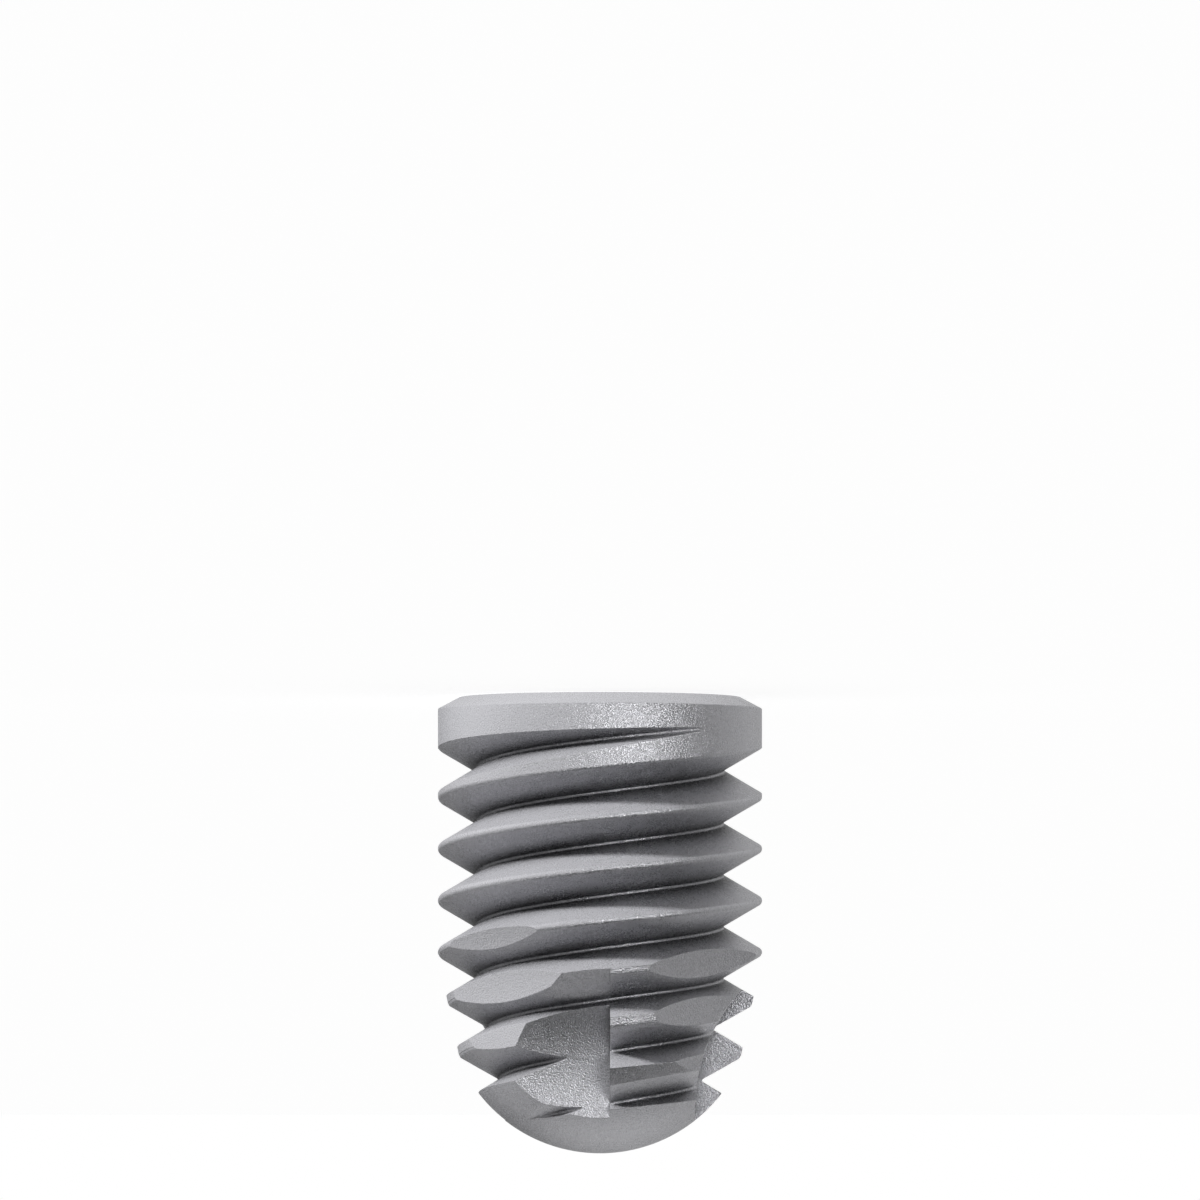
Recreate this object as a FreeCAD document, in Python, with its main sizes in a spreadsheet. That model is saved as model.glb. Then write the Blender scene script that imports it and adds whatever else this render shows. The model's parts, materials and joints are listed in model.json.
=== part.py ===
# Short screw-type dental implant, one solid piece of titanium.
# Units are millimetres and degrees. The origin is the centre of the platform, the flat face that
# carries the tooth, and +Z runs down the implant's axis to its rounded apex.

import FreeCAD, Part
import Sketcher
import math
import os

Vector = FreeCAD.Vector
Rotation = FreeCAD.Rotation

doc = FreeCAD.newDocument("DentalImplant")


# Driving sizes

SIZES = [
    # Outline of the body, seen from the side
    ("body_radius", 2.1),
    ("platform_bevel_width", 0.28),
    ("platform_bevel_height", 0.148),
    ("overall_length", 5.91),
    ("taper_length", 2.53),
    ("body_taper_angle", 12.0),
    ("apex_height", 1.148),
    # Thread, cut as equal grooves that start opposite each other
    ("thread_starts", 2),
    ("thread_lead", 1.345),
    ("groove_depth", 0.495),
    ("groove_floor_width", 0.036),
    ("flank_angle", 30.0),
    ("first_groove_turn", -130.0),
    ("first_groove_height", 0.468),
    ("groove_fade_angle", 150.0),
    ("floor_taper_delay", 0.32),
    ("floor_taper_angle", 12.2),
    # Cutting flutes at the apex, each with one flat wall and a floor that runs out in an arc
    ("flute_count", 4),
    ("flute_wall_offset", 0.13),
    ("flute_depth", 0.87),
    ("flute_floor_to_tip", 0.56),
    ("flute_runout_radius", 2.3),
    # Relief flats that trim the crests between the flutes
    ("relief_count", 4),
    ("relief_turn", 43.0),
    ("relief_depth", 0.355),
    ("relief_flat_to_tip", 1.77),
    ("relief_runout_radius", 2.6),
    # Socket and screw bore inside the platform
    ("hex_across_flats", 2.42),
    ("hex_depth", 1.3),
    ("mouth_radius", 1.5),
    ("relief_bore_radius", 0.95),
    ("relief_bore_length", 0.25),
    ("screw_bore_radius", 0.76),
    ("screw_bore_depth", 4.0),
    ("drill_point_angle", 118.0),
    # Room that every cutting shape keeps beyond the body
    ("cut_clearance", 0.2),
]

sheet = doc.addObject("Spreadsheet::Sheet", "Sizes")
for row, (alias, value) in enumerate(SIZES, start=1):
    sheet.set("A%d" % row, alias.replace("_", " "))
    sheet.set("B%d" % row, str(value))
    sheet.setAlias("B%d" % row, alias)
doc.recompute()


def size(alias):
    """Return one driving size as a number."""
    return float(sheet.get(alias))


# Sketch helpers

START = 1
END = 2
CENTRE = 3
ORIGIN = (-1, START)
AXIS_LINE = -2

body = doc.addObject("PartDesign::Body", "SmoothBody")


def origin_feature(role):
    """Return the body's own plane or axis with this role."""
    for feature in body.Origin.OriginFeatures:
        if feature.Role == role:
            return feature
    raise ValueError("no origin feature " + role)


def new_sketch(name, plane_role):
    """Add an empty sketch on one of the body's origin planes."""
    sketch = body.newObject("Sketcher::SketchObject", name)
    sketch.AttachmentSupport = [(origin_feature(plane_role), "")]
    sketch.MapMode = "FlatFace"
    return sketch


def add_line(sketch, start, end):
    """Add a straight edge between two (x, y) points."""
    return sketch.addGeometry(Part.LineSegment(Vector(*start), Vector(*end)))


def add_arc(sketch, centre, radius, first_angle, last_angle):
    """Add an arc that runs counter-clockwise between two angles in radians."""
    circle = Part.Circle(Vector(*centre), Vector(0, 0, 1), radius)
    return sketch.addGeometry(Part.ArcOfCircle(circle, first_angle, last_angle))


def relate(sketch, kind, *places):
    """Add a geometric constraint."""
    sketch.addConstraint(Sketcher.Constraint(kind, *places))


def drive(sketch, kind, places, value, name, formula):
    """Add a dimension and bind it to a formula of the sheet's sizes."""
    index = sketch.addConstraint(Sketcher.Constraint(kind, *places, value))
    sketch.renameConstraint(index, name)
    sketch.setExpression("Constraints." + name, formula)


def close_loop(sketch, edges):
    """Join the end of each edge to the start of the next, given as (edge, start, end)."""
    for (edge, _, end), (following, start, _) in zip(edges, edges[1:] + edges[:1]):
        relate(sketch, "Coincident", edge, end, following, start)


# Smooth body: platform, bevel, parallel stretch, taper and ball-shaped apex

def body_profile():
    """Sketch the half outline of the body in the XZ plane."""
    radius = size("body_radius")
    platform = radius - size("platform_bevel_width")
    bevel = size("platform_bevel_height")
    length = size("overall_length")
    parallel = length - size("taper_length")
    taper = size("body_taper_angle")
    dome = size("apex_height")
    # The apex is the part of a ball that passes through the tip and the end of the taper.
    corner = (radius - (length - dome - parallel) * math.tan(math.radians(taper)), length - dome)
    ball_centre = length - (corner[0] ** 2 + dome ** 2) / (2 * dome)
    ball = length - ball_centre
    corner_angle = math.atan2(corner[1] - ball_centre, corner[0])
    sketch = new_sketch("BodyProfile", "XZ_Plane")
    face = add_line(sketch, (0, 0), (platform, 0))
    chamfer = add_line(sketch, (platform, 0), (radius, bevel))
    side = add_line(sketch, (radius, bevel), (radius, parallel))
    cone = add_line(sketch, (radius, parallel), corner)
    apex = add_arc(sketch, (0, ball_centre), ball, corner_angle, math.pi / 2)
    axis = add_line(sketch, (0, length), (0, 0))
    edges = [(edge, START, END) for edge in (face, chamfer, side, cone, apex, axis)]
    close_loop(sketch, edges)
    relate(sketch, "Coincident", face, START, *ORIGIN)
    relate(sketch, "Horizontal", face)
    relate(sketch, "Vertical", side)
    relate(sketch, "Vertical", axis)
    relate(sketch, "PointOnObject", apex, CENTRE, AXIS_LINE)
    drive(sketch, "DistanceX", (face, START, face, END), platform, "PlatformRadius",
          "Sizes.body_radius - Sizes.platform_bevel_width")
    drive(sketch, "DistanceX", (*ORIGIN, side, START), radius, "BodyRadius", "Sizes.body_radius")
    drive(sketch, "DistanceY", (*ORIGIN, side, START), bevel, "BevelHeight", "Sizes.platform_bevel_height")
    drive(sketch, "DistanceY", (*ORIGIN, side, END), parallel, "ParallelLength",
          "Sizes.overall_length - Sizes.taper_length")
    drive(sketch, "Angle", (cone,), math.radians(90 + taper), "TaperAngle", "90 + Sizes.body_taper_angle")
    drive(sketch, "DistanceY", (*ORIGIN, cone, END), corner[1], "TaperEnd",
          "Sizes.overall_length - Sizes.apex_height")
    drive(sketch, "DistanceY", (*ORIGIN, apex, END), length, "OverallLength", "Sizes.overall_length")
    return sketch


def revolve_body():
    """Turn the half outline round the implant's axis."""
    revolution = body.newObject("PartDesign::Revolution", "TurnedBlank")
    revolution.Profile = body_profile()
    revolution.ReferenceAxis = (origin_feature("Z_Axis"), [""])
    revolution.Angle = 360.0
    doc.recompute()


# Cuts from the side: a straight floor that runs out towards the platform in an arc

def runout_profile(name, depth, floor_to_tip, runout):
    """Sketch the side view of a cut whose floor lies on the -Y side of the axis."""
    sketch = new_sketch(name, "YZ_Plane")
    floor_y = size(depth) - size("body_radius")
    height = size("overall_length") - size(floor_to_tip)
    radius = size(runout)
    outside_y = -(size("body_radius") + size("cut_clearance"))
    far = size("overall_length") + size("cut_clearance")
    sweep = math.acos((radius - (floor_y - outside_y)) / radius)
    runout_end = height - radius * math.sin(sweep)
    straight = add_line(sketch, (floor_y, far), (floor_y, height))
    arc = add_arc(sketch, (floor_y - radius, height), radius, -sweep, 0)
    outside = add_line(sketch, (outside_y, runout_end), (outside_y, far))
    end = add_line(sketch, (outside_y, far), (floor_y, far))
    close_loop(sketch, [(straight, START, END), (arc, END, START), (outside, START, END), (end, START, END)])
    relate(sketch, "Vertical", straight)
    relate(sketch, "Vertical", outside)
    relate(sketch, "Horizontal", end)
    relate(sketch, "Horizontal", straight, END, arc, CENTRE)
    drive(sketch, "DistanceX", (straight, START, *ORIGIN), -floor_y, "FloorDistance",
          "Sizes.body_radius - Sizes." + depth)
    drive(sketch, "DistanceY", (*ORIGIN, straight, END), height, "FloorHeight",
          "Sizes.overall_length - Sizes." + floor_to_tip)
    drive(sketch, "Radius", (arc,), radius, "RunoutRadius", "Sizes." + runout)
    drive(sketch, "DistanceX", (outside, START, *ORIGIN), -outside_y, "Outside",
          "Sizes.body_radius + Sizes.cut_clearance")
    drive(sketch, "DistanceY", (*ORIGIN, straight, START), far, "FarEnd",
          "Sizes.overall_length + Sizes.cut_clearance")
    return sketch


def new_pocket(name, sketch, formula, reverse, both_ways):
    """Cut a sketch into the body and make sure that it removed material."""
    before = body.Shape.Volume
    pocket = body.newObject("PartDesign::Pocket", name)
    pocket.Profile = sketch
    pocket.Reversed = reverse
    pocket.Midplane = both_ways
    pocket.setExpression("Length", formula)
    doc.recompute()
    if body.Shape.Volume >= before:
        raise RuntimeError(name + " removed nothing")
    return pocket


def repeat_round_axis(name, feature, count_alias):
    """Repeat a cut evenly round the implant's axis."""
    before = body.Shape.Volume
    pattern = body.newObject("PartDesign::PolarPattern", name)
    pattern.Originals = [feature]
    pattern.Axis = (origin_feature("Z_Axis"), [""])
    pattern.Angle = 360.0
    pattern.Occurrences = int(size(count_alias))
    pattern.setExpression("Occurrences", "Sizes." + count_alias)
    body.Tip = pattern
    doc.recompute()
    if body.Shape.Volume >= before:
        raise RuntimeError(name + " removed nothing")


def cut_flutes():
    """Cut the flutes: the sketch plane is the flat wall, and the cut leaves it towards +X."""
    sketch = runout_profile("FluteProfile", "flute_depth", "flute_floor_to_tip", "flute_runout_radius")
    sketch.setExpression("AttachmentOffset.Base.z", "-Sizes.flute_wall_offset")
    doc.recompute()
    reach = "Sizes.flute_wall_offset + Sizes.body_radius + Sizes.cut_clearance"
    pocket = new_pocket("FlutePocket", sketch, reach, True, False)
    repeat_round_axis("Flutes", pocket, "flute_count")


def cut_reliefs():
    """Trim the crests between the flutes with flats turned away from them."""
    sketch = runout_profile("ReliefProfile", "relief_depth", "relief_flat_to_tip", "relief_runout_radius")
    sketch.AttachmentOffset = FreeCAD.Placement(Vector(0, 0, 0), Rotation(Vector(0, 1, 0), size("relief_turn")))
    sketch.setExpression("AttachmentOffset.Rotation.Angle", "Sizes.relief_turn")
    doc.recompute()
    reach = "2 * (Sizes.body_radius + Sizes.cut_clearance)"
    pocket = new_pocket("ReliefPocket", sketch, reach, False, True)
    repeat_round_axis("Reliefs", pocket, "relief_count")


# Inside: hexagonal socket, its lead-in bevel and the bore for the abutment screw

def hexagon_sketch():
    """Sketch the hexagon with two flats square to Y."""
    sketch = new_sketch("HexSketch", "XY_Plane")
    corner_radius = size("hex_across_flats") / math.sqrt(3)
    corners = []
    for number in range(6):
        angle = math.radians(60 * number)
        corners.append((corner_radius * math.cos(angle), corner_radius * math.sin(angle)))
    sides = [add_line(sketch, corners[n], corners[(n + 1) % 6]) for n in range(6)]
    rim = sketch.addGeometry(Part.Circle(Vector(0, 0, 0), Vector(0, 0, 1), corner_radius), True)
    close_loop(sketch, [(side, START, END) for side in sides])
    relate(sketch, "Coincident", rim, CENTRE, *ORIGIN)
    for side in sides:
        relate(sketch, "PointOnObject", side, START, rim)
    for side in sides[1:]:
        relate(sketch, "Equal", sides[0], side)
    relate(sketch, "Horizontal", sides[1])
    drive(sketch, "DistanceY", (*ORIGIN, sides[1], START), size("hex_across_flats") / 2, "HalfAcrossFlats",
          "Sizes.hex_across_flats / 2")
    return sketch


def cut_socket():
    """Sink the hexagon into the platform."""
    new_pocket("HexSocket", hexagon_sketch(), "Sizes.hex_depth", True, False)


def mouth_profile():
    """Sketch the 45 degree cone that opens the socket's mouth."""
    sketch = new_sketch("MouthProfile", "XZ_Plane")
    radius = size("mouth_radius")
    mouth = add_line(sketch, (0, 0), (radius, 0))
    slope = add_line(sketch, (radius, 0), (0, radius))
    axis = add_line(sketch, (0, radius), (0, 0))
    close_loop(sketch, [(mouth, START, END), (slope, START, END), (axis, START, END)])
    relate(sketch, "Coincident", mouth, START, *ORIGIN)
    relate(sketch, "Horizontal", mouth)
    relate(sketch, "Vertical", axis)
    relate(sketch, "Equal", mouth, axis)
    drive(sketch, "DistanceX", (mouth, START, mouth, END), radius, "MouthRadius", "Sizes.mouth_radius")
    return sketch


def bore_profile():
    """Sketch half of the screw bore: a short relief below the hexagon, the bore and its drill point."""
    sketch = new_sketch("BoreProfile", "XZ_Plane")
    wide = size("relief_bore_radius")
    narrow = size("screw_bore_radius")
    step = size("hex_depth") + size("relief_bore_length")
    depth = size("screw_bore_depth")
    point_angle = size("drill_point_angle")
    tip = depth + narrow / math.tan(math.radians(point_angle / 2))
    corners = [(0, 0), (wide, 0), (wide, step), (narrow, step), (narrow, depth), (0, tip)]
    lines = [add_line(sketch, corners[n], corners[(n + 1) % len(corners)]) for n in range(len(corners))]
    mouth, relief, shoulder, wall, point, axis = lines
    close_loop(sketch, [(line, START, END) for line in lines])
    relate(sketch, "Coincident", mouth, START, *ORIGIN)
    relate(sketch, "Horizontal", mouth)
    relate(sketch, "Vertical", relief)
    relate(sketch, "Horizontal", shoulder)
    relate(sketch, "Vertical", wall)
    relate(sketch, "Vertical", axis)
    drive(sketch, "DistanceX", (mouth, START, mouth, END), wide, "ReliefRadius", "Sizes.relief_bore_radius")
    drive(sketch, "DistanceY", (*ORIGIN, relief, END), step, "ReliefEnd",
          "Sizes.hex_depth + Sizes.relief_bore_length")
    drive(sketch, "DistanceX", (*ORIGIN, wall, START), narrow, "BoreRadius", "Sizes.screw_bore_radius")
    drive(sketch, "DistanceY", (*ORIGIN, wall, END), depth, "BoreDepth", "Sizes.screw_bore_depth")
    drive(sketch, "Angle", (point,), math.radians(90 + point_angle / 2), "DrillPoint",
          "90 + Sizes.drill_point_angle / 2")
    return sketch


def new_groove(name, sketch):
    """Turn a sketch round the axis as a cut and make sure that it removed material."""
    before = body.Shape.Volume
    groove = body.newObject("PartDesign::Groove", name)
    groove.Profile = sketch
    groove.ReferenceAxis = (origin_feature("Z_Axis"), [""])
    groove.Angle = 360.0
    doc.recompute()
    if body.Shape.Volume >= before:
        raise RuntimeError(name + " removed nothing")


# Thread grooves: V-shaped cutters run along the helix of each start, one short stretch after another

STRETCH_ANGLE = 180.0
STEPS_PER_STRETCH = 9
LEAD_IN_ANGLE = 10.0


def ramp(value, blend):
    """Return 0 below zero and value above it, rounded over the blend width on each side."""
    if value <= -blend:
        return 0.0
    if value >= blend:
        return value
    return (value + blend) ** 2 / (4 * blend)


def groove_depth_at(travel):
    """Depth of the groove after so many degrees: it deepens along a quarter sine wave."""
    fade = size("groove_fade_angle")
    depth = size("groove_depth")
    if travel < 0:
        return depth * travel / fade * math.pi / 2
    return depth * math.sin(math.radians(90 * min(travel / fade, 1)))


def groove_path_point(travel):
    """Radius and height of the middle of the groove's floor after so many degrees."""
    height = size("first_groove_height") + size("thread_lead") * travel / 360
    blend = size("thread_lead") / 8
    taper = math.tan(math.radians(size("floor_taper_angle")))
    taper_start = size("overall_length") - size("taper_length") + size("floor_taper_delay")
    pulled_in = taper * ramp(height - taper_start, blend)
    return size("body_radius") - pulled_in - groove_depth_at(travel), height


def groove_edge(start_angle, first_travel, radial_offset, axial_offset):
    """Curve that one corner of the V-shaped section follows along one stretch."""
    points = []
    travels = []
    for step in range(STEPS_PER_STRETCH + 1):
        travel = first_travel + STRETCH_ANGLE * step / STEPS_PER_STRETCH
        radius, height = groove_path_point(travel)
        angle = math.radians(start_angle + travel)
        outward = radius + radial_offset
        points.append(Vector(outward * math.cos(angle), outward * math.sin(angle), height + axial_offset))
        travels.append(travel)
    curve = Part.BSplineCurve()
    curve.interpolate(Points=points, Parameters=travels)
    return curve.toShape()


def groove_cutter(start_angle, first_travel):
    """Solid that cuts one stretch of groove: a narrow floor between two straight flanks."""
    half_floor = size("groove_floor_width") / 2
    reach = size("groove_depth") + size("cut_clearance")
    half_mouth = half_floor + reach * math.tan(math.radians(size("flank_angle")))
    section = [(0, -half_floor), (0, half_floor), (reach, half_mouth), (reach, -half_mouth)]
    edges = [groove_edge(start_angle, first_travel, radial, axial) for radial, axial in section]
    forward = 1
    faces = []
    for edge, following in zip(edges, edges[1:] + edges[:1]):
        faces.append(Part.makeRuledSurface(edge, following, forward))
    for end in (0, 1):
        corners = [edge.Vertexes[end].Point for edge in edges]
        faces.append(Part.Face(Part.makePolygon(corners + corners[:1])))
    shell = Part.Shell(faces)
    shell.sewShape()
    solid = Part.Solid(shell)
    if solid.Volume < 0:
        solid.reverse()
    return solid


def cut_thread(blank):
    """Cut every start's groove out of the blank, from the collar to beyond the apex."""
    rise = size("overall_length") + size("cut_clearance") - size("first_groove_height")
    last_travel = 360 * rise / size("thread_lead")
    stretches = math.ceil((last_travel + LEAD_IN_ANGLE) / STRETCH_ANGLE)
    starts = int(size("thread_starts"))
    threaded = blank
    for start in range(starts):
        start_angle = size("first_groove_turn") + 360 * start / starts
        for stretch in range(stretches):
            name = "Groove%dStretch%d" % (start + 1, stretch + 1)
            cutter = doc.addObject("Part::Feature", name + "Cutter")
            cutter.Shape = groove_cutter(start_angle, stretch * STRETCH_ANGLE - LEAD_IN_ANGLE)
            cutter.Placement = FreeCAD.Placement()
            cut = doc.addObject("Part::Cut", name)
            cut.Base = threaded
            cut.Tool = cutter
            threaded = cut
    doc.recompute()
    return threaded


revolve_body()
cut_flutes()
cut_reliefs()
cut_socket()
new_groove("SocketMouth", mouth_profile())
new_groove("ScrewBore", bore_profile())
implant = cut_thread(body)
implant.Label = "implant_body"
implant.Placement = FreeCAD.Placement()
doc.recompute()


# Checks and export

for item in doc.Objects:
    if "Invalid" in item.State or "Error" in item.State:
        raise RuntimeError("failed object: " + item.Name)

shape = implant.Shape
if shape.isNull() or not shape.isValid() or len(shape.Solids) != 1:
    raise RuntimeError("implant_body is not one valid solid")

os.makedirs("parts", exist_ok=True)
shape.exportStep("parts/" + implant.Label + ".step")
box = shape.BoundBox
print("implant_body", "volume", round(shape.Volume, 4), "faces", len(shape.Faces))
print("box", box.XMin, box.XMax, box.YMin, box.YMax, box.ZMin, box.ZMax)
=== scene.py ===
"""A short screw-type dental implant of blasted titanium, which stands on its platform.

The construction solid is loaded as a fixed frame. The piece that is shown is built from the same sizes
and adds the rounded crests and roots of the thread, the broken edges and the thread of the screw bore.
"""

import json
import math

import bmesh
import bpy
from bpy.props import FloatProperty, FloatVectorProperty, IntProperty, PointerProperty
from mathutils import Matrix, Vector

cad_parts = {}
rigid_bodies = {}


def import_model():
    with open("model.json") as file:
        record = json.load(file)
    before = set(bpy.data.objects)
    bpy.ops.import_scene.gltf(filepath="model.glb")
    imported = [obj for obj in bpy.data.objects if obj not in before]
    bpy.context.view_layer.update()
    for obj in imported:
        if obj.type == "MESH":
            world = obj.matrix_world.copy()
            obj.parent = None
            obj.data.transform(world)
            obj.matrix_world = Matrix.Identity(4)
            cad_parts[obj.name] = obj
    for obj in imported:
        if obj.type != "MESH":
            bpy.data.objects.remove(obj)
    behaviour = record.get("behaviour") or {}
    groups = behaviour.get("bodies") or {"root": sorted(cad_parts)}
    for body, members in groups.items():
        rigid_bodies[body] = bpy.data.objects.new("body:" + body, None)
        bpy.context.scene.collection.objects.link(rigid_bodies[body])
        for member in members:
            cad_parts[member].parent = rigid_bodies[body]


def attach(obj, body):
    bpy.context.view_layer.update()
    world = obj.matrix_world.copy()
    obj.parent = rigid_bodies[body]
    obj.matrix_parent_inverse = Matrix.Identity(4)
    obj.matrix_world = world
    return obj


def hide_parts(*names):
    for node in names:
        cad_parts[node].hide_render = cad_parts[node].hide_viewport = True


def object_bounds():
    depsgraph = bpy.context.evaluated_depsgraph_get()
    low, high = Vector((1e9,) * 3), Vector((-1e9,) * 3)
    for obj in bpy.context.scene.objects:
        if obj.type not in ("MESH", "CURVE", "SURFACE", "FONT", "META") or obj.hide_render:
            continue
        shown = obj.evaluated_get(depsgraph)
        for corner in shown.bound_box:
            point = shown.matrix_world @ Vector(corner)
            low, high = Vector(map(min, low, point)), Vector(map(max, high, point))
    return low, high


bl_info = {
    "name": "Dental Implant",
    "version": (1, 0, 0),
    "blender": (4, 5, 0),
    "location": "3D View > Sidebar > Implant",
    "description": "Builds a short screw-type dental implant of blasted titanium and a pale studio round it",
    "category": "Add Mesh",
}

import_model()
CAD_LOW, CAD_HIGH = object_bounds()
MM = 0.001


# Sizes and colours

def length(label, text, millimetres):
    """A size in metres, with its default given in millimetres."""
    return FloatProperty(name=label, description=text, default=millimetres * MM, min=0.0, precision=6,
                         unit="LENGTH")


def turn(label, text, degrees):
    """An angle, with its default given in degrees."""
    return FloatProperty(name=label, description=text, default=math.radians(degrees), unit="ROTATION")


def share(label, text, default, highest=1.0):
    """A plain number from zero to a highest value."""
    return FloatProperty(name=label, description=text, default=default, min=0.0, max=highest, precision=3)


class ImplantOutline(bpy.types.PropertyGroup):
    """The turned outline: platform, bevel, collar, taper and rounded tip."""

    body_radius: length("Body radius", "Radius of the collar and of the crests above the taper", 2.1)
    bevel_width: length("Bevel width", "How far the platform's bevel goes inward", 0.28)
    bevel_height: length("Bevel height", "How far the platform's bevel goes along the axis", 0.148)
    edge_radius: length("Edge radius", "Rounding of the bevel's two edges", 0.02)
    overall_length: length("Overall length", "From the platform to the tip", CAD_HIGH.z / MM)
    taper_length: length("Taper length", "From the start of the taper to the tip", 2.53)
    taper_angle: turn("Taper angle", "Slope of the tapered stretch", 12.0)
    tip_height: length("Tip height", "From the end of the taper to the tip, along the ball-shaped tip", 1.148)


class ImplantThread(bpy.types.PropertyGroup):
    """The outer thread: equal grooves that start opposite each other."""

    starts: IntProperty(name="Starts", description="Number of grooves side by side", default=2, min=1, max=4)
    lead: length("Lead", "Climb of one groove in a full turn", 1.345)
    depth: length("Depth", "From the crest to the bottom of the groove", 0.495)
    floor_width: length("Floor width", "Width of the groove where its flanks end", 0.036)
    flank_angle: turn("Flank angle", "Slope of each flank", 30.0)
    crest_radius: length("Crest radius", "Rounding of the crests' shoulders", 0.052)
    first_turn: turn("First turn", "Where the first groove begins, round the axis", -130.0)
    first_height: length("First height", "Height at which each groove begins", 0.468)
    fade_turn: turn("Fade turn", "Turn over which a groove reaches its full depth", 150.0)
    taper_delay: length("Taper delay", "From the start of the body's taper to the floor's own taper", 0.32)
    taper_angle: turn("Floor taper angle", "Slope of the groove's floor towards the tip", 12.2)


class ImplantCuts(bpy.types.PropertyGroup):
    """The cutting flutes and the flats that relieve the crests between them."""

    flute_count: IntProperty(name="Flutes", description="Number of cutting flutes", default=4, min=1, max=6)
    wall_offset: length("Wall offset", "How far a flute's flat wall lies past the axis", 0.13)
    flute_depth: length("Flute depth", "From the body's side to a flute's floor", 0.87)
    flute_to_tip: length("Flute to tip", "From the end of a flute's straight floor to the tip", 0.56)
    flute_runout: length("Flute run-out radius", "Radius in which a flute's floor rises to the surface", 2.3)
    relief_turn: turn("Relief turn", "Turn from a flute's floor to the flat beside it", 43.0)
    relief_depth: length("Relief depth", "From the body's side to a relief flat", 0.355)
    relief_to_tip: length("Relief to tip", "From the end of a relief's straight stretch to the tip", 1.77)
    relief_runout: length("Relief run-out radius", "Radius in which a relief flat rises to the surface", 2.6)


class ImplantSocket(bpy.types.PropertyGroup):
    """The hexagonal socket and the threaded bore below it."""

    hex_flats: length("Hexagon flats", "Width of the hexagon across its flats", 2.42)
    hex_depth: length("Hexagon depth", "Depth of the hexagon below the platform", 1.3)
    mouth_radius: length("Mouth radius", "Radius of the cone that opens the socket", 1.5)
    relief_radius: length("Relief radius", "Radius of the short relief below the hexagon", 0.95)
    relief_length: length("Relief length", "Length of the relief below the hexagon", 0.25)
    bore_radius: length("Bore radius", "Inner radius of the screw thread", 0.76)
    bore_depth: length("Bore depth", "Depth of the screw bore below the platform", 4.0)
    drill_angle: turn("Drill point angle", "Point angle of the bore's blind end", 118.0)
    screw_pitch: length("Screw pitch", "Climb of the screw thread in a turn", 0.35)
    screw_groove: length("Screw groove", "Depth of the screw thread", 0.14)


class ImplantFinish(bpy.types.PropertyGroup):
    """Colour and grain of the blasted and etched titanium, with painted shade in the grooves and a painted
    highlight on edges.
    """

    metal: FloatVectorProperty(name="Metal colour", description="Colour of the bare metal", subtype="COLOR",
                               default=(0.55, 0.55, 0.578), min=0.0, max=1.0)
    # The edge colour is a painted highlight: lighter metal along sharp edges.
    painted_edge_highlight: FloatVectorProperty(name="Edge colour", description="Colour of the metal on sharp edges",
                              subtype="COLOR", default=(0.62, 0.62, 0.645), min=0.0, max=1.0)
    metallic: share("Metallic", "Share of the light that the skin reflects as metal", 0.45)
    roughness: share("Roughness", "Mean roughness of the blasted surface", 0.28)
    grain: length("Grain", "Width of one blasted dimple", 0.02)
    grain_depth: length("Grain depth", "Depth of the dimples", 0.0105)
    dimple_shade: share("Dimple shade", "How much the colour varies from dimple to dimple", 0.1)
    dimple_roughness: share("Dimple roughness", "How much the roughness varies from dimple to dimple", 0.15)
    patch_roughness: share("Patch roughness", "How much the roughness varies from patch to patch", 0.1)
    # Along an edge the metal is smoother, and its colour takes a painted highlight.
    edge_width: length("Edge width", "Width of the polished line along an edge", 0.01)
    edge_highlight_share: share("Edge wear", "How far a polished line takes the edge colour", 0.35)
    edge_polish: share("Edge polish", "How much smoother a polished line is", 0.04)
    # The next four values set painted shade: the colour goes darker deep in the grooves, where little of the
    # room is in view.
    painted_shade_reach: length("Cavity reach", "How wide a groove has to be to stay bright", 0.45)
    painted_shade_darkest: share("Cavity shade", "Brightness of the etched skin deep in a groove", 0.0)
    painted_shade_closed: share("Closed cavity", "Open share of the view at which the skin is darkest", 0.32)
    painted_shade_open: share("Open cavity", "Open share of the view from which the skin is bright", 0.64)


class ImplantStage(bpy.types.PropertyGroup):
    """Camera, lamps, panels of the room, and floor."""

    floor_width: length("Floor width", "Side of the square floor", 400.0)
    view_distance: length("View distance", "From the camera to the point it aims at", 450.0)
    view_width: length("View width", "Width of the picture at the implant", 15.556)
    view_elevation: turn("View elevation", "Height of the camera above the horizon", 2.4)
    aim_height: FloatProperty(name="Aim height", description="Height of the point in the picture's middle",
                              default=-1.264 * MM, precision=6, unit="LENGTH")
    key_strength: share("Key lamp", "Strength of the key lamp", 5.5, 20.0)
    sheen_strength: share("Sheen lamp", "Strength of the small lamp beside the camera", 1.8, 20.0)
    left_strength: share("Left lamps", "Strength of each broad lamp at the left", 0.53, 20.0)
    right_strength: share("Right lamp", "Strength of the broad lamp at the right", 0.4, 20.0)
    room: share("Room", "Brightness of the room between its panels", 0.01, 4.0)
    top_panel: share("Top panel", "Brightness of the panel over the platform", 0.5, 4.0)
    right_panel: share("Right panel", "Brightness of the panel behind, at the right", 0.45, 4.0)
    left_panel: share("Left panel", "Brightness of the panel behind, at the left", 0.08, 4.0)
    low_panel: share("Low panel", "Brightness of the panel under the tip", 0.95, 4.0)


GROUPS = {
    "implant_outline": ImplantOutline,
    "implant_thread": ImplantThread,
    "implant_cuts": ImplantCuts,
    "implant_socket": ImplantSocket,
    "implant_finish": ImplantFinish,
    "implant_stage": ImplantStage,
}


# Solids. Shapes are worked out in millimetres and scaled to metres at the end.

CLEARANCE = 0.2


def polar(radius, angle, height):
    """A point at this radius, angle and height."""
    return Vector((radius * math.cos(angle), radius * math.sin(angle), height))


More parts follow.
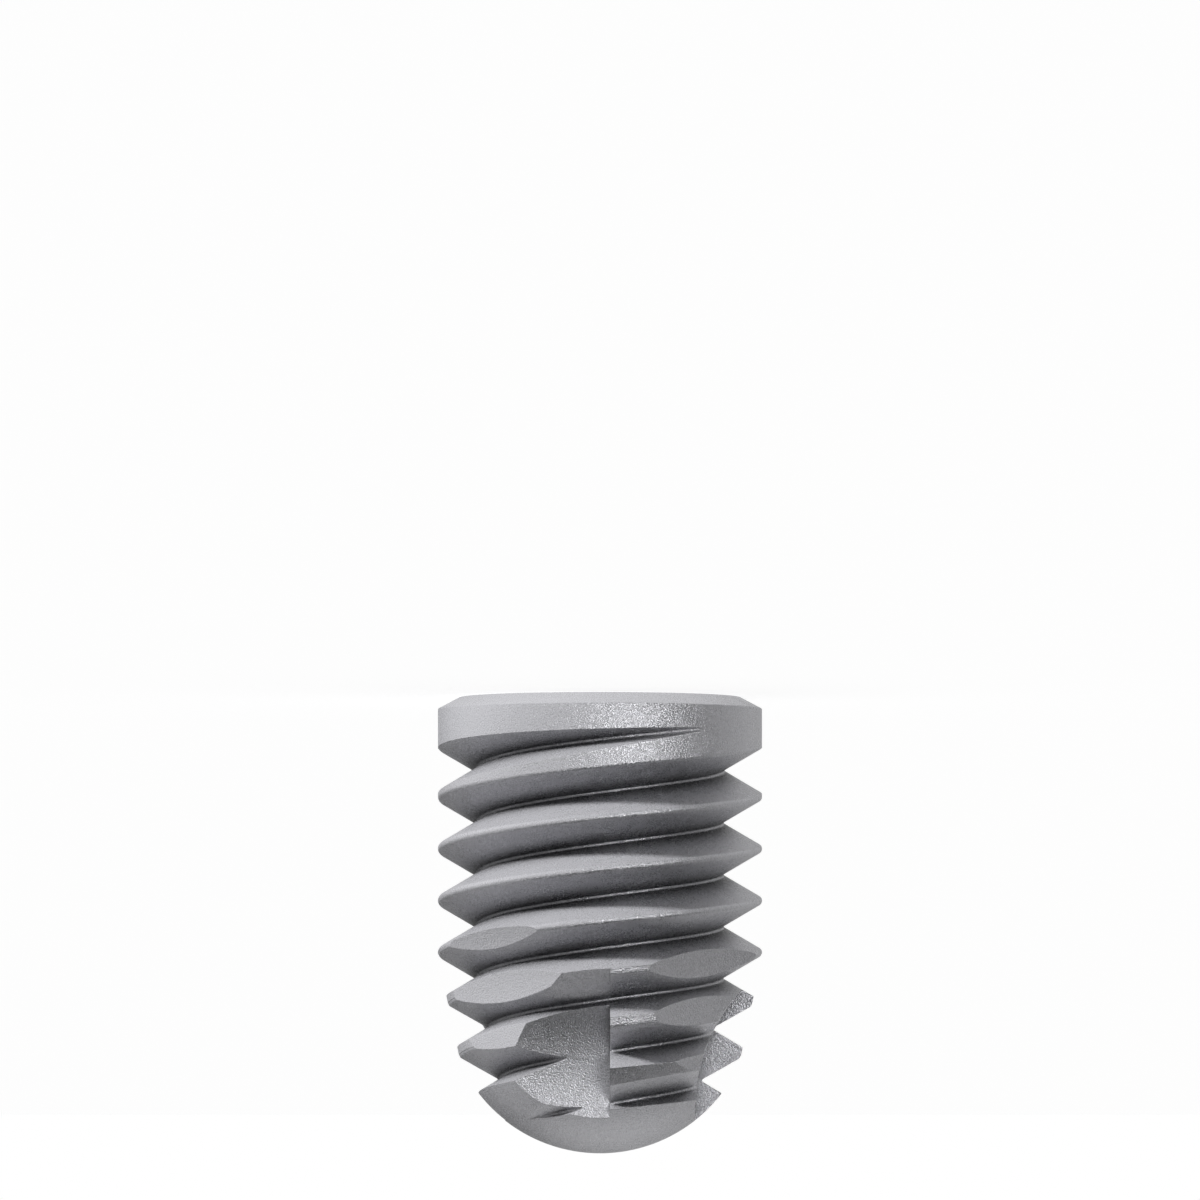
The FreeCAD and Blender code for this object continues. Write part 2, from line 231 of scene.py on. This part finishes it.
def arc(centre, radius, first, last, steps):
    """Points on an arc in a plane, from the first angle to the last."""
    angles = [first + (last - first) * step / steps for step in range(steps + 1)]
    return [(centre[0] + radius * math.cos(a), centre[1] + radius * math.sin(a)) for a in angles]


def solid_object(name, points, faces):
    """A closed mesh object with its faces turned outward, linked to the scene."""
    mesh = bpy.data.meshes.new(name)
    mesh.from_pydata(points, [], faces)
    work = bmesh.new()
    work.from_mesh(mesh)
    bmesh.ops.recalc_face_normals(work, faces=work.faces)
    work.to_mesh(mesh)
    work.free()
    solid = bpy.data.objects.new(name, mesh)
    bpy.context.scene.collection.objects.link(solid)
    return solid


def tube(name, rings):
    """A solid swept through rings of points, with a flat face at each end."""
    size = len(rings[0])
    last = (len(rings) - 1) * size
    faces = []
    for here in range(0, last, size):
        there = here + size
        for point in range(size):
            after = (point + 1) % size
            faces.append((here + point, here + after, there + after, there + point))
    faces.append(tuple(range(size)))
    faces.append(tuple(range(last + size - 1, last - 1, -1)))
    return solid_object(name, [point for ring in rings for point in ring], faces)


def turned(name, profile, columns):
    """A solid of revolution. The profile runs from the axis to the axis as (radius, height) pairs."""
    side = profile[1:-1]
    points = []
    for column in range(columns):
        angle = 2 * math.pi * column / columns
        points.extend(polar(radius, angle, height) for radius, height in side)
    low = len(points)
    high = low + 1
    points.append(Vector((0, 0, profile[0][1])))
    points.append(Vector((0, 0, profile[-1][1])))
    faces = []
    for column in range(columns):
        here = column * len(side)
        there = (column + 1) % columns * len(side)
        for row in range(len(side) - 1):
            faces.append((here + row, here + row + 1, there + row + 1, there + row))
        faces.append((low, here, there))
        faces.append((high, there + len(side) - 1, here + len(side) - 1))
    return solid_object(name, points, faces)


def join_solids(name, solids):
    """Join several solids into one object."""
    mesh = bmesh.new()
    for solid in solids:
        mesh.from_mesh(solid.data)
        discard(solid)
    joined = bpy.data.meshes.new(name)
    mesh.to_mesh(joined)
    mesh.free()
    result = bpy.data.objects.new(name, joined)
    bpy.context.scene.collection.objects.link(result)
    return result


def discard(solid):
    """Delete an object and its mesh."""
    mesh = solid.data
    bpy.data.objects.remove(solid)
    bpy.data.meshes.remove(mesh)


def carve(blank, cutters):
    """Cut the cutters out of the blank one after another and delete them."""
    for cutter in cutters:
        cut = blank.modifiers.new(cutter.name, "BOOLEAN")
        cut.operation = "DIFFERENCE"
        cut.solver = "MANIFOLD"
        cut.object = cutter
    seen = blank.evaluated_get(bpy.context.evaluated_depsgraph_get())
    carved = bpy.data.meshes.new_from_object(seen)
    blank.modifiers.clear()
    old = blank.data
    blank.data = carved
    bpy.data.meshes.remove(old)
    for cutter in cutters:
        discard(cutter)


# Body: turned blank, thread grooves, flutes and reliefs

BLANK_COLUMNS = 360
BALL_STEPS = 26
EDGE_STEPS = 3
RUNOUT_STEPS = 28
GROOVE_COLUMNS = 300
ROOT_STEPS = 6
SHOULDER_STEPS = 5
# The shoulders' arcs stop a little short of the crest, so that they cut it at a clear angle.
SHOULDER_END = math.radians(4.0)
# Each groove's cutter starts this turn before the groove does, outside the body.
LEAD_IN = math.radians(10.0)
# Share of the lead over which a groove's floor bends into its taper, on each side of the bend.
TAPER_BLEND = 1 / 8


def rounded_corner(before, corner, after, radius):
    """Points of the arc that rounds a corner between two straight edges of an outline."""
    back = (Vector(before) - Vector(corner)).normalized()
    on = (Vector(after) - Vector(corner)).normalized()
    half = back.angle(on) / 2
    centre = Vector(corner) + (back + on).normalized() * radius / math.sin(half)
    start = Vector(corner) + back * radius / math.tan(half) - centre
    sweep = start.angle_signed(Vector(corner) + on * radius / math.tan(half) - centre)
    first = math.atan2(start.y, start.x)
    return arc(centre, radius, first, first - sweep, EDGE_STEPS)


def blank_profile(outline):
    """Half outline of the turned blank, from the platform's centre to the tip."""
    radius = outline.body_radius / MM
    tip = outline.overall_length / MM
    dome = outline.tip_height / MM
    taper_start = tip - outline.taper_length / MM
    rim = radius - (tip - dome - taper_start) * math.tan(outline.taper_angle)
    ball = (rim ** 2 + dome ** 2) / (2 * dome)
    middle = tip - ball
    platform = (radius - outline.bevel_width / MM, 0.0)
    collar = (radius, outline.bevel_height / MM)
    edge = outline.edge_radius / MM
    profile = [(0.0, 0.0)]
    profile += rounded_corner((0.0, 0.0), platform, collar, edge)
    profile += rounded_corner(platform, collar, (radius, taper_start), edge)
    profile.append((radius, taper_start))
    profile += arc((0.0, middle), ball, math.atan2(tip - dome - middle, rim), math.pi / 2, BALL_STEPS)[:-1]
    profile.append((0.0, tip))
    return profile


def rounded_ramp(value, blend):
    """Zero below zero and the value above it, rounded over the blend width on each side."""
    if value <= -blend:
        return 0.0
    if value >= blend:
        return value
    return (value + blend) ** 2 / (4 * blend)


def groove_section(thread):
    """Section of a groove's cutter, as (outward, along the axis) pairs, with round root and shoulders."""
    half_floor = thread.floor_width / MM / 2
    depth = thread.depth / MM
    flank = thread.flank_angle
    shoulder = thread.crest_radius / MM
    # The root's arc touches both flanks and the floor's level.
    sharp = half_floor / math.tan(flank)
    root = sharp / (1 / math.sin(flank) - 1)
    side = math.pi / 2 - flank
    corner = half_floor + depth * math.tan(flank)
    reach = corner + shoulder * math.tan(side / 2)
    upper = arc((depth - shoulder, reach), shoulder, -SHOULDER_END, -side, SHOULDER_STEPS)
    bottom = arc((root, 0.0), root, math.pi - side, math.pi + side, ROOT_STEPS)
    lower = [(outward, -along) for outward, along in reversed(upper)]
    above = depth + CLEARANCE
    return [(above, upper[0][1])] + upper + bottom + lower + [(above, lower[-1][1])]


def groove_depth(thread, travel):
    """Depth of a groove after so much turning: it deepens along a quarter sine wave."""
    depth = thread.depth / MM
    if travel < 0:
        return depth * travel / thread.fade_turn * math.pi / 2
    return depth * math.sin(math.pi / 2 * min(travel / thread.fade_turn, 1.0))


def groove_cutter(outline, thread, number):
    """Cutter of one groove, swept along its helix from the collar to beyond the tip."""
    lead = thread.lead / MM
    length_mm = outline.overall_length / MM
    taper_start = length_mm - (outline.taper_length - thread.taper_delay) / MM
    slope = math.tan(thread.taper_angle)
    section = groove_section(thread)
    start = thread.first_turn + 2 * math.pi * number / thread.starts
    end = 2 * math.pi * (length_mm + CLEARANCE - thread.first_height / MM) / lead
    columns = math.ceil((end + LEAD_IN) / (2 * math.pi) * GROOVE_COLUMNS)
    rings = []
    for column in range(columns + 1):
        travel = -LEAD_IN + (end + LEAD_IN) * column / columns
        height = thread.first_height / MM + lead * travel / (2 * math.pi)
        pulled_in = slope * rounded_ramp(height - taper_start, TAPER_BLEND * lead)
        floor = outline.body_radius / MM - pulled_in - groove_depth(thread, travel)
        rings.append([polar(floor + outward, start + travel, height + along) for outward, along in section])
    return tube("groove_%d" % number, rings)


def side_cutter(name, floor, height, runout, far, outside, low_x, high_x, angle):
    """Prism that cuts a flat floor on the -Y side, which runs out in an arc, turned round the axis."""
    sweep = math.acos(1 - (outside - floor) / runout)
    outline = arc((-floor - runout, height), runout, 0.0, -sweep, RUNOUT_STEPS)
    outline += [(-outside, far), (-floor, far)]
    spin = Matrix.Rotation(angle, 3, "Z")
    rings = [[spin @ Vector((x, y, z)) for y, z in outline] for x in (low_x, high_x)]
    return tube(name, rings)


def flute_cutter(outline, cuts):
    """All the flutes' cutters: each has its flat wall at one side and is open at the other."""
    radius = outline.body_radius / MM
    length_mm = outline.overall_length / MM
    floor = radius - cuts.flute_depth / MM
    outside = radius + CLEARANCE
    solids = []
    for number in range(cuts.flute_count):
        solids.append(side_cutter(
            "flute", floor, length_mm - cuts.flute_to_tip / MM, cuts.flute_runout / MM,
            length_mm + CLEARANCE, outside, -cuts.wall_offset / MM, outside,
            2 * math.pi * number / cuts.flute_count))
    return join_solids("flutes", solids)


def relief_cutter(outline, cuts):
    """All the relief flats' cutters."""
    radius = outline.body_radius / MM
    length_mm = outline.overall_length / MM
    floor = radius - cuts.relief_depth / MM
    solids = []
    for number in range(cuts.flute_count):
        solids.append(side_cutter(
            "relief", floor, length_mm - cuts.relief_to_tip / MM, cuts.relief_runout / MM,
            length_mm + CLEARANCE, radius + CLEARANCE, -floor, floor,
            cuts.relief_turn + 2 * math.pi * number / cuts.flute_count))
    return join_solids("reliefs", solids)


# Inside: hexagon, mouth, bore and screw thread

HEX_SIDES = 6
BORE_COLUMNS = 96
SCREW_COLUMNS = 72
# Width of the flat at the bottom of the screw thread's groove.
THREAD_FLAT = 0.03


def hexagon_cutter(socket):
    """Hexagonal prism with two flats square to Y."""
    corner = socket.hex_flats / MM / math.sqrt(3)
    rings = []
    for height in (-CLEARANCE, socket.hex_depth / MM):
        rings.append([polar(corner, math.radians(360 / HEX_SIDES * number), height)
                      for number in range(HEX_SIDES)])
    return tube("hexagon", rings)


def mouth_cutter(socket):
    """Cone of 45 degrees that opens the socket."""
    radius = socket.mouth_radius / MM
    profile = [(0.0, -CLEARANCE), (radius + CLEARANCE, -CLEARANCE), (0.0, radius)]
    return turned("mouth", profile, BLANK_COLUMNS)


def bore_cutter(socket):
    """Relief below the hexagon, bore and drill point."""
    wide = socket.relief_radius / MM
    narrow = socket.bore_radius / MM
    step = (socket.hex_depth + socket.relief_length) / MM
    depth = socket.bore_depth / MM
    point = depth + narrow / math.tan(socket.drill_angle / 2)
    profile = [(0.0, -CLEARANCE), (wide, -CLEARANCE), (wide, step),
               (narrow, step), (narrow, depth), (0.0, point)]
    return turned("bore", profile, BORE_COLUMNS)


def screw_cutter(socket):
    """Cutter of the screw thread: a V that climbs the bore's wall from the relief to near its end."""
    pitch = socket.screw_pitch / MM
    radius = socket.bore_radius / MM
    outer = radius + socket.screw_groove / MM
    inner = radius - socket.screw_groove / MM / 2
    half_mouth = (pitch - THREAD_FLAT) / 2
    wide = half_mouth * (outer - inner) / (outer - radius)
    low = (socket.hex_depth + socket.relief_length) / MM - pitch / 2
    high = socket.bore_depth / MM - pitch
    columns = math.ceil((high - low) / pitch * SCREW_COLUMNS)
    flat = THREAD_FLAT / 2
    section = [(inner, -wide / 2), (outer, -flat), (outer, flat), (inner, wide / 2)]
    rings = []
    for column in range(columns + 1):
        climb = (high - low) * column / columns
        angle = 2 * math.pi * climb / pitch
        rings.append([polar(distance, angle, low + climb + along) for distance, along in section])
    return tube("screw", rings)


# Shader graphs

class Level:
    """A number that varies over a surface. Arithmetic on it adds Math nodes to its graph."""

    def __init__(self, graph, socket):
        self.graph = graph
        self.socket = socket

    def worked_out(self, operation, first, second):
        node = self.graph.add("ShaderNodeMath", {"operation": operation}, {0: first, 1: second})
        return node.level(0)

    def __add__(self, other):
        return self.worked_out("ADD", self, other)

    def __sub__(self, other):
        return self.worked_out("SUBTRACT", self, other)

    def __rsub__(self, other):
        return self.worked_out("SUBTRACT", other, self)

    def __mul__(self, other):
        return self.worked_out("MULTIPLY", self, other)

    __radd__ = __add__


class Added:
    """A node that was added to a graph, and its outputs."""

    def __init__(self, graph, node):
        self.graph = graph
        self.node = node

    def out(self, name):
        """An output socket by name or number."""
        return self.node.outputs[name]

    def level(self, name):
        """An output as a number that can be reckoned with."""
        return Level(self.graph, self.node.outputs[name])


class Graph:
    """The emptied node tree of a material or of the world."""

    def __init__(self, owner):
        owner.use_nodes = True
        self.tree = owner.node_tree
        self.tree.nodes.clear()

    def add(self, kind, settings, sockets):
        """Add a node: its settings first, then the values or links of its sockets, by name or number."""
        node = self.tree.nodes.new(kind)
        for name, value in settings.items():
            setattr(node, name, value)
        for name, value in sockets.items():
            if isinstance(value, Level):
                value = value.socket
            if isinstance(value, bpy.types.NodeSocket):
                self.tree.links.new(value, node.inputs[name])
            else:
                node.inputs[name].default_value = value
        return Added(self, node)


# Numbers of the Mix node's sockets for colours.
MIX_FACTOR = 0
MIX_FIRST = 6
MIX_SECOND = 7
MIX_RESULT = 2

BLACK = (0.0, 0.0, 0.0, 1.0)
NOISE_DETAIL = 2.0
DIMPLE_CRISPNESS = 0.6
# Width of a patch of even roughness, in dimples.
PATCH_WIDTH = 12
NODE_SAMPLES = 6
MEAN_NOISE = 0.5
# Likeness of the true and the rounded normal at which an edge line begins, and at which it is full. The line
# is smoother, and painted lighter as a highlight.
LINE_BEGINS = 0.998
LINE_FULL = 0.95


def smooth_step(graph, value, first, last, low, high):
    """A number that goes smoothly from low to high while the value goes from first to last."""
    return graph.add("ShaderNodeMapRange", {"interpolation_type": "SMOOTHSTEP"}, {
        "Value": value, "From Min": first, "From Max": last, "To Min": low, "To Max": high}).level(0)


def mixed(graph, factor, first, second):
    """A colour between two colours."""
    return graph.add("ShaderNodeMix", {"data_type": "RGBA"}, {
        MIX_FACTOR: factor, MIX_FIRST: first, MIX_SECOND: second}).out(MIX_RESULT)


def alignment(graph, first, second):
    """Cosine of the angle between two directions."""
    return graph.add("ShaderNodeVectorMath", {"operation": "DOT_PRODUCT"}, {
        0: first, 1: second}).level("Value")


def titanium_material(finish):
    """Blasted and etched titanium: matt grey metal with a fine grain and smoother edges, with a painted
    highlight along the edges and painted shade deep in the grooves.
    """
    material = bpy.data.materials.new("blasted_titanium")
    graph = Graph(material)
    place = graph.add("ShaderNodeTexCoord", {}, {}).out("Object")
    dimples = graph.add("ShaderNodeTexNoise", {}, {
        "Vector": place, "Scale": 1 / finish.grain, "Detail": NOISE_DETAIL,
        "Roughness": DIMPLE_CRISPNESS}).level(0) - MEAN_NOISE
    patches = graph.add("ShaderNodeTexNoise", {}, {
        "Vector": place, "Scale": 1 / (PATCH_WIDTH * finish.grain),
        "Detail": NOISE_DETAIL}).level(0) - MEAN_NOISE
    rounded = graph.add("ShaderNodeBevel", {"samples": NODE_SAMPLES}, {
        "Radius": finish.edge_width}).out("Normal")
    facing = graph.add("ShaderNodeNewGeometry", {}, {}).out("Normal")
    # The edge mask makes edges smoother, and lighter in colour as a painted highlight.
    edge = smooth_step(graph, alignment(graph, rounded, facing), LINE_BEGINS, LINE_FULL, 0.0, 1.0)
    # Painted shade: ambient occlusion makes the colour darker deep in the grooves, where shade falls.
    open_view = graph.add("ShaderNodeAmbientOcclusion", {"samples": NODE_SAMPLES}, {
        "Distance": finish.painted_shade_reach}).level("AO")
    bright = smooth_step(graph, open_view, finish.painted_shade_closed, finish.painted_shade_open, finish.painted_shade_darkest, 1.0)
    # The skin's colour: the metal, darkened deep in the grooves as painted shade, and varied at random from
    # dimple to dimple.
    skin = mixed(graph, bright + dimples * finish.dimple_shade, BLACK, (*finish.metal, 1.0))
    relief = graph.add("ShaderNodeBump", {}, {
        "Distance": finish.grain_depth, "Height": dimples, "Normal": rounded}).out("Normal")
    # Base colour: the skin, painted lighter along the edges as a highlight.
    surface = graph.add("ShaderNodeBsdfPrincipled", {}, {
        "Base Color": mixed(graph, edge * finish.edge_highlight_share, skin, (*finish.painted_edge_highlight, 1.0)),
        "Metallic": finish.metallic,
        "Roughness": (finish.roughness + dimples * finish.dimple_roughness
                      + patches * finish.patch_roughness - edge * finish.edge_polish),
        "Normal": relief}).out("BSDF")
    graph.add("ShaderNodeOutputMaterial", {}, {"Surface": surface})
    return material


# Stage

PAPER = (1.0, 1.0, 1.0, 1.0)
SENSOR = 36.0
# How many view distances the camera sees.
SIGHT = 10
# Each lamp's place, as azimuth to the picture's right and elevation to its top, and its width, in degrees.
KEY_LAMP = (-68.0, 36.0, 10.0)
SHEEN_LAMP = (29.0, -1.0, 26.0)
FRONT_LEFT_LAMP = (-24.0, 0.0, 52.0)
LEFT_LAMP = (-98.0, -2.0, 74.0)
RIGHT_LAMP = (114.0, 5.0, 84.0)
# The middle of each panel in the same terms, and how far from it the panel is full and how far it fades out.
TOP_PANEL = (0.0, 90.0, 20.0, 80.0)
RIGHT_PANEL = (130.0, 8.0, 25.0, 75.0)
LEFT_PANEL = (-145.0, 12.0, 20.0, 55.0)
LOW_PANEL = (180.0, -68.0, 20.0, 50.0)
# Most of the floor's brightness is its own. A small matt share adds the room's light and takes the shadow.
FLOOR_SEEN = 0.985
MATT_SHARE = 0.35
ROOM_LIGHT = 0.39


def towards(azimuth, elevation):
    """Unit vector to a place in the picture's terms: azimuth to its right, elevation to its top."""
    return Vector((-math.sin(azimuth) * math.cos(elevation), -math.cos(azimuth) * math.cos(elevation),
                   -math.sin(elevation)))


def add_lamp(name, place, strength):
    """Add a distant lamp that shines on the implant from its place."""
    azimuth, elevation, width = [math.radians(angle) for angle in place]
    lamp = bpy.data.lights.new(name, "SUN")
    lamp.energy = strength
    lamp.angle = width
    holder = bpy.data.objects.new(name, lamp)
    holder.rotation_euler = (-towards(azimuth, elevation)).to_track_quat("-Z", "Y").to_euler()
    bpy.context.scene.collection.objects.link(holder)
    return holder


def hang_lamps(stage):
    """One lamp for the matt share of the metal's light, and four that show only as a shine on it."""
    key = add_lamp("key_lamp", KEY_LAMP, stage.key_strength)
    key.visible_glossy = False
    shines = [
        add_lamp("sheen_lamp", SHEEN_LAMP, stage.sheen_strength),
        add_lamp("front_left_lamp", FRONT_LEFT_LAMP, stage.left_strength),
        add_lamp("left_lamp", LEFT_LAMP, stage.left_strength),
        add_lamp("right_lamp", RIGHT_LAMP, stage.right_strength),
    ]
    for lamp in shines:
        lamp.visible_diffuse = False


def panel(graph, direction, place, strength):
    """Brightness of a round soft panel in a direction: full near its middle, and fading out round it."""
    azimuth, elevation, full, faded = [math.radians(angle) for angle in place]
    nearness = alignment(graph, direction, towards(azimuth, elevation))
    return smooth_step(graph, nearness, math.cos(faded), math.cos(full), 0.0, strength)


def paint_room(stage):
    """A dim room with large soft panels that light the metal. The camera sees it white."""
    world = bpy.data.worlds.new("pale_room")
    bpy.context.scene.world = world
    graph = Graph(world)
    direction = graph.add("ShaderNodeTexCoord", {}, {}).out("Generated")
    room = (stage.room
            + panel(graph, direction, TOP_PANEL, stage.top_panel)
            + panel(graph, direction, RIGHT_PANEL, stage.right_panel)
            + panel(graph, direction, LEFT_PANEL, stage.left_panel)
            + panel(graph, direction, LOW_PANEL, stage.low_panel))
    seen = graph.add("ShaderNodeLightPath", {}, {}).level("Is Camera Ray")
    light = graph.add("ShaderNodeBackground", {}, {"Color": PAPER, "Strength": seen + (1 - seen) * room})
    graph.add("ShaderNodeOutputWorld", {}, {"Surface": light.out(0)})


def lay_floor(stage):
    """A white floor under the platform, which shows the implant's soft shadow and hides nothing else."""
    half = stage.floor_width / 2
    mesh = bpy.data.meshes.new("floor")
    corners = [(-half, -half, 0), (half, -half, 0), (half, half, 0), (-half, half, 0)]
    mesh.from_pydata(corners, [], [(0, 1, 2, 3)])
    floor = bpy.data.objects.new("floor", mesh)
    bpy.context.scene.collection.objects.link(floor)
    material = bpy.data.materials.new("white_paper")
    graph = Graph(material)
    glow = graph.add("ShaderNodeEmission", {}, {
        "Color": PAPER, "Strength": FLOOR_SEEN - MATT_SHARE * ROOM_LIGHT}).out(0)
    matt = graph.add("ShaderNodeBsdfDiffuse", {}, {
        "Color": (MATT_SHARE, MATT_SHARE, MATT_SHARE, 1.0)}).out(0)
    paper = graph.add("ShaderNodeAddShader", {}, {0: glow, 1: matt}).out(0)
    graph.add("ShaderNodeOutputMaterial", {}, {"Surface": paper})
    mesh.materials.append(material)
    # The picture's light comes from the platform's side, so the floor lets it through to the metal.
    floor.visible_shadow = False
    floor.visible_diffuse = False
    floor.visible_glossy = False
    floor.visible_transmission = False


def place_camera(stage):
    """A long lens at the front, turned so that the platform is at the top of the picture."""
    camera = bpy.data.cameras.new("camera")
    camera.sensor_width = SENSOR
    camera.lens = SENSOR * stage.view_distance / stage.view_width
    camera.clip_end = SIGHT * stage.view_distance
    holder = bpy.data.objects.new("camera", camera)
    bpy.context.scene.collection.objects.link(holder)
    back = towards(0.0, -stage.view_elevation)
    right = Vector((0, 0, -1)).cross(back).normalized()
    up = back.cross(right)
    place = Vector((0, 0, stage.aim_height)) + back * stage.view_distance
    columns = (right, up, back, place)
    rows = [[column[row] for column in columns] for row in range(3)]
    holder.matrix_world = Matrix(rows + [[0.0, 0.0, 0.0, 1.0]])
    bpy.context.scene.camera = holder


# Operators

SHARP_EDGE = math.radians(20.0)
# Points of the carved mesh that lie closer than this are merged, in millimetres.
MERGE_DISTANCE = 0.00002
# Lowest and highest volume of the finished body, in cubic millimetres.
VOLUME_RANGE = (42.0, 45.5)


class IMPLANT_OT_build_body(bpy.types.Operator):
    """Build the implant's body: blank, thread, flutes, reliefs, socket and screw thread, in titanium"""

    bl_idname = "implant.build_body"
    bl_label = "Build implant body"

    def execute(self, context):
        scene = context.scene
        outline = scene.implant_outline
        thread = scene.implant_thread
        socket = scene.implant_socket
        body = turned("titanium_implant", blank_profile(outline), BLANK_COLUMNS)
        cutters = [groove_cutter(outline, thread, number) for number in range(thread.starts)]
        cutters.append(flute_cutter(outline, scene.implant_cuts))
        cutters.append(relief_cutter(outline, scene.implant_cuts))
        cutters += [hexagon_cutter(socket), mouth_cutter(socket), bore_cutter(socket), screw_cutter(socket)]
        carve(body, cutters)
        self.check(body)
        body.data.transform(Matrix.Scale(MM, 4))
        body.data.shade_smooth()
        body.data.set_sharp_from_angle(angle=SHARP_EDGE)
        weighted = body.modifiers.new("even_shading", "WEIGHTED_NORMAL")
        weighted.keep_sharp = True
        body.data.materials.clear()
        body.data.materials.append(titanium_material(scene.implant_finish))
        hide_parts("implant_body")
        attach(body, "root")
        return {"FINISHED"}

    def check(self, body):
        """Clean the carved mesh and stop if it is open or has the wrong volume."""
        work = bmesh.new()
        work.from_mesh(body.data)
        bmesh.ops.remove_doubles(work, verts=work.verts, dist=MERGE_DISTANCE)
        bmesh.ops.dissolve_degenerate(work, dist=MERGE_DISTANCE, edges=work.edges)
        open_edges = sum(1 for edge in work.edges if not edge.is_manifold)
        volume = work.calc_volume()
        work.to_mesh(body.data)
        work.free()
        print("body: %d faces, %d open edges, %.3f cubic mm" % (len(body.data.polygons), open_edges, volume))
        if open_edges or not VOLUME_RANGE[0] < volume < VOLUME_RANGE[1]:
            raise RuntimeError("the carved body isn't one closed solid of the right volume")


class IMPLANT_OT_build_stage(bpy.types.Operator):
    """Set up the white floor, the pale room, the lamps and the camera"""

    bl_idname = "implant.build_stage"
    bl_label = "Build stage"

    def execute(self, context):
        stage = context.scene.implant_stage
        context.scene.view_settings.view_transform = "Standard"
        lay_floor(stage)
        paint_room(stage)
        hang_lamps(stage)
        place_camera(stage)
        return {"FINISHED"}


class IMPLANT_PT_sidebar(bpy.types.Panel):
    """The implant's sizes, finish and stage"""

    bl_idname = "IMPLANT_PT_sidebar"
    bl_label = "Dental implant"
    bl_space_type = "VIEW_3D"
    bl_region_type = "UI"
    bl_category = "Implant"

    def draw(self, context):
        for name, group in GROUPS.items():
            box = self.layout.box()
            box.label(text=name.replace("_", " ").capitalize())
            for entry in group.__annotations__:
                box.prop(getattr(context.scene, name), entry)
        self.layout.operator(IMPLANT_OT_build_body.bl_idname)
        self.layout.operator(IMPLANT_OT_build_stage.bl_idname)


CLASSES = (*GROUPS.values(), IMPLANT_OT_build_body, IMPLANT_OT_build_stage, IMPLANT_PT_sidebar)


def register():
    """Register the classes and hang the sizes on the scene."""
    for entry in CLASSES:
        bpy.utils.register_class(entry)
    for name, group in GROUPS.items():
        setattr(bpy.types.Scene, name, PointerProperty(type=group))


def unregister():
    """Take the sizes off the scene and unregister the classes."""
    for name in GROUPS:
        delattr(bpy.types.Scene, name)
    for entry in reversed(CLASSES):
        bpy.utils.unregister_class(entry)


def main():
    """Build everything."""
    register()
    bpy.ops.implant.build_body()
    bpy.ops.implant.build_stage()


if __name__ == "__main__":
    main()
